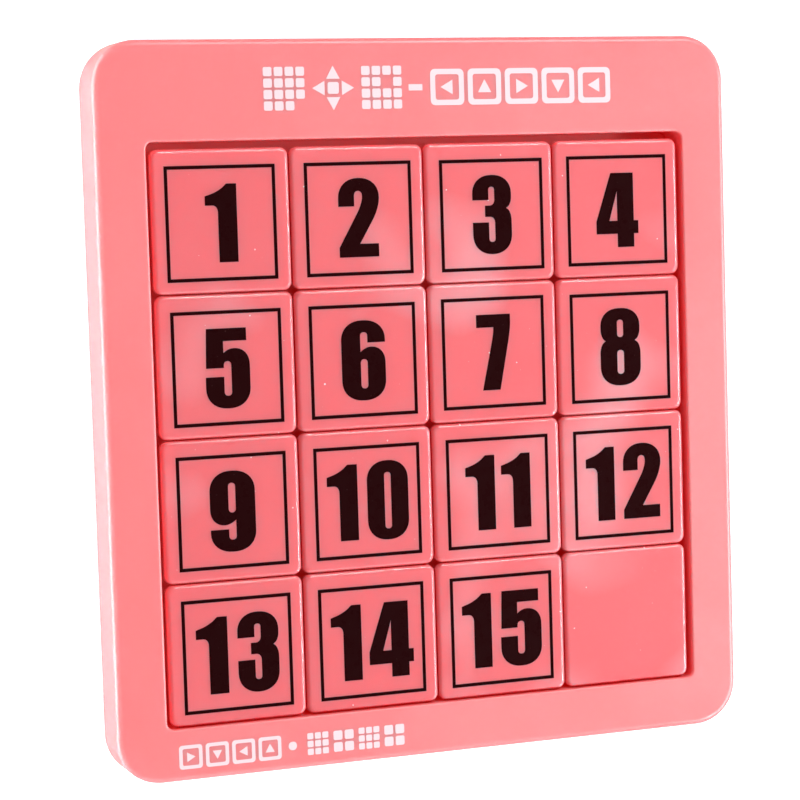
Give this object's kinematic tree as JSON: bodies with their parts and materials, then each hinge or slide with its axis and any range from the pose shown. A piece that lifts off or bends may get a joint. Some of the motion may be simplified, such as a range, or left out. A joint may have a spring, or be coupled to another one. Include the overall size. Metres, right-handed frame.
{
  "type": "sliding tile puzzle",
  "caption": "Square sliding number puzzle: magnetic tiles with rounded edges in a shallow moulded tray, with a wide top border and a lift-out blank tile.",
  "frame": {"origin": "centre of the board's back face, on which it lies", "axes": "+Z out of the tile faces, +Y towards the wide border, +X to the right when reading the tiles"},
  "size_m": [0.1192, 0.128, 0.0094],
  "materials": {
    "tray_plastic": "salmon-pink moulded ABS, satin gloss",
    "tile_plastic": "salmon-pink moulded ABS, glossy, slightly translucent",
    "zinc_plated_steel": "zinc-plated sheet",
    "nickel_plated_magnet": "nickel-plated disc magnet",
    "black_ink": "black pad-printing ink",
    "white_ink": "white pad-printing ink"
  },
  "bodies": {
    "tray": {"tray_frame": "tray_plastic", "slide_floor": "tray_plastic", "steel_sheet": "zinc_plated_steel", "back_cover": "tray_plastic"},
    "tile_01": {"tile_01_cap": "tile_plastic", "tile_01_base": "tile_plastic", "tile_01_magnet": "nickel_plated_magnet"},
    "tile_02": {"tile_02_cap": "tile_plastic", "tile_02_base": "tile_plastic", "tile_02_magnet": "nickel_plated_magnet"},
    "tile_03": {"tile_03_cap": "tile_plastic", "tile_03_base": "tile_plastic", "tile_03_magnet": "nickel_plated_magnet"},
    "tile_04": {"tile_04_cap": "tile_plastic", "tile_04_base": "tile_plastic", "tile_04_magnet": "nickel_plated_magnet"},
    "tile_05": {"tile_05_cap": "tile_plastic", "tile_05_base": "tile_plastic", "tile_05_magnet": "nickel_plated_magnet"},
    "tile_06": {"tile_06_cap": "tile_plastic", "tile_06_base": "tile_plastic", "tile_06_magnet": "nickel_plated_magnet"},
    "tile_07": {"tile_07_cap": "tile_plastic", "tile_07_base": "tile_plastic", "tile_07_magnet": "nickel_plated_magnet"},
    "tile_08": {"tile_08_cap": "tile_plastic", "tile_08_base": "tile_plastic", "tile_08_magnet": "nickel_plated_magnet"},
    "tile_09": {"tile_09_cap": "tile_plastic", "tile_09_base": "tile_plastic", "tile_09_magnet": "nickel_plated_magnet"},
    "tile_10": {"tile_10_cap": "tile_plastic", "tile_10_base": "tile_plastic", "tile_10_magnet": "nickel_plated_magnet"},
    "tile_11": {"tile_11_cap": "tile_plastic", "tile_11_base": "tile_plastic", "tile_11_magnet": "nickel_plated_magnet"},
    "tile_12": {"tile_12_cap": "tile_plastic", "tile_12_base": "tile_plastic", "tile_12_magnet": "nickel_plated_magnet"},
    "tile_13": {"tile_13_cap": "tile_plastic", "tile_13_base": "tile_plastic", "tile_13_magnet": "nickel_plated_magnet"},
    "tile_14": {"tile_14_cap": "tile_plastic", "tile_14_base": "tile_plastic", "tile_14_magnet": "nickel_plated_magnet"},
    "tile_15": {"tile_15_cap": "tile_plastic", "tile_15_base": "tile_plastic", "tile_15_magnet": "nickel_plated_magnet"},
    "blank_tile": {"blank_tile_cap": "tile_plastic", "blank_tile_base": "tile_plastic", "blank_tile_magnet": "nickel_plated_magnet"}
  },
  "joints": [
    {"name": "tile_01_lift", "type": "slide", "parent": "tray", "child": "tile_01", "axis": [0, 0, 1], "range_m": [0, 0.02]},
    {"name": "tile_02_lift", "type": "slide", "parent": "tray", "child": "tile_02", "axis": [0, 0, 1], "range_m": [0, 0.02]},
    {"name": "tile_03_lift", "type": "slide", "parent": "tray", "child": "tile_03", "axis": [0, 0, 1], "range_m": [0, 0.02]},
    {"name": "tile_04_lift", "type": "slide", "parent": "tray", "child": "tile_04", "axis": [0, 0, 1], "range_m": [0, 0.02]},
    {"name": "tile_05_lift", "type": "slide", "parent": "tray", "child": "tile_05", "axis": [0, 0, 1], "range_m": [0, 0.02]},
    {"name": "tile_06_lift", "type": "slide", "parent": "tray", "child": "tile_06", "axis": [0, 0, 1], "range_m": [0, 0.02]},
    {"name": "tile_07_lift", "type": "slide", "parent": "tray", "child": "tile_07", "axis": [0, 0, 1], "range_m": [0, 0.02]},
    {"name": "tile_08_lift", "type": "slide", "parent": "tray", "child": "tile_08", "axis": [0, 0, 1], "range_m": [0, 0.02]},
    {"name": "tile_09_lift", "type": "slide", "parent": "tray", "child": "tile_09", "axis": [0, 0, 1], "range_m": [0, 0.02]},
    {"name": "tile_10_lift", "type": "slide", "parent": "tray", "child": "tile_10", "axis": [0, 0, 1], "range_m": [0, 0.02]},
    {"name": "tile_11_lift", "type": "slide", "parent": "tray", "child": "tile_11", "axis": [0, 0, 1], "range_m": [0, 0.02]},
    {"name": "tile_12_lift", "type": "slide", "parent": "tray", "child": "tile_12", "axis": [0, 0, 1], "range_m": [0, 0.02]},
    {"name": "tile_13_slide", "type": "slide", "parent": "tray", "child": "tile_13", "axis": [1, 0, 0], "range_m": [0, 0.025]},
    {"name": "tile_14_slide", "type": "slide", "parent": "tray", "child": "tile_14", "axis": [1, 0, 0], "range_m": [0, 0.025]},
    {"name": "tile_15_slide", "type": "slide", "parent": "tray", "child": "tile_15", "axis": [1, 0, 0], "range_m": [0, 0.025]},
    {"name": "blank_tile_lift", "type": "slide", "parent": "tray", "child": "blank_tile", "axis": [0, 0, 1], "range_m": [0, 0.1]}
  ],
  "couplings": [
    {"joint": "tile_14_slide", "follows": "tile_13_slide", "ratio": 1},
    {"joint": "tile_15_slide", "follows": "tile_13_slide", "ratio": 1},
    {"joint": "blank_tile_lift", "follows": "tile_13_slide", "ratio": 4}
  ]
}
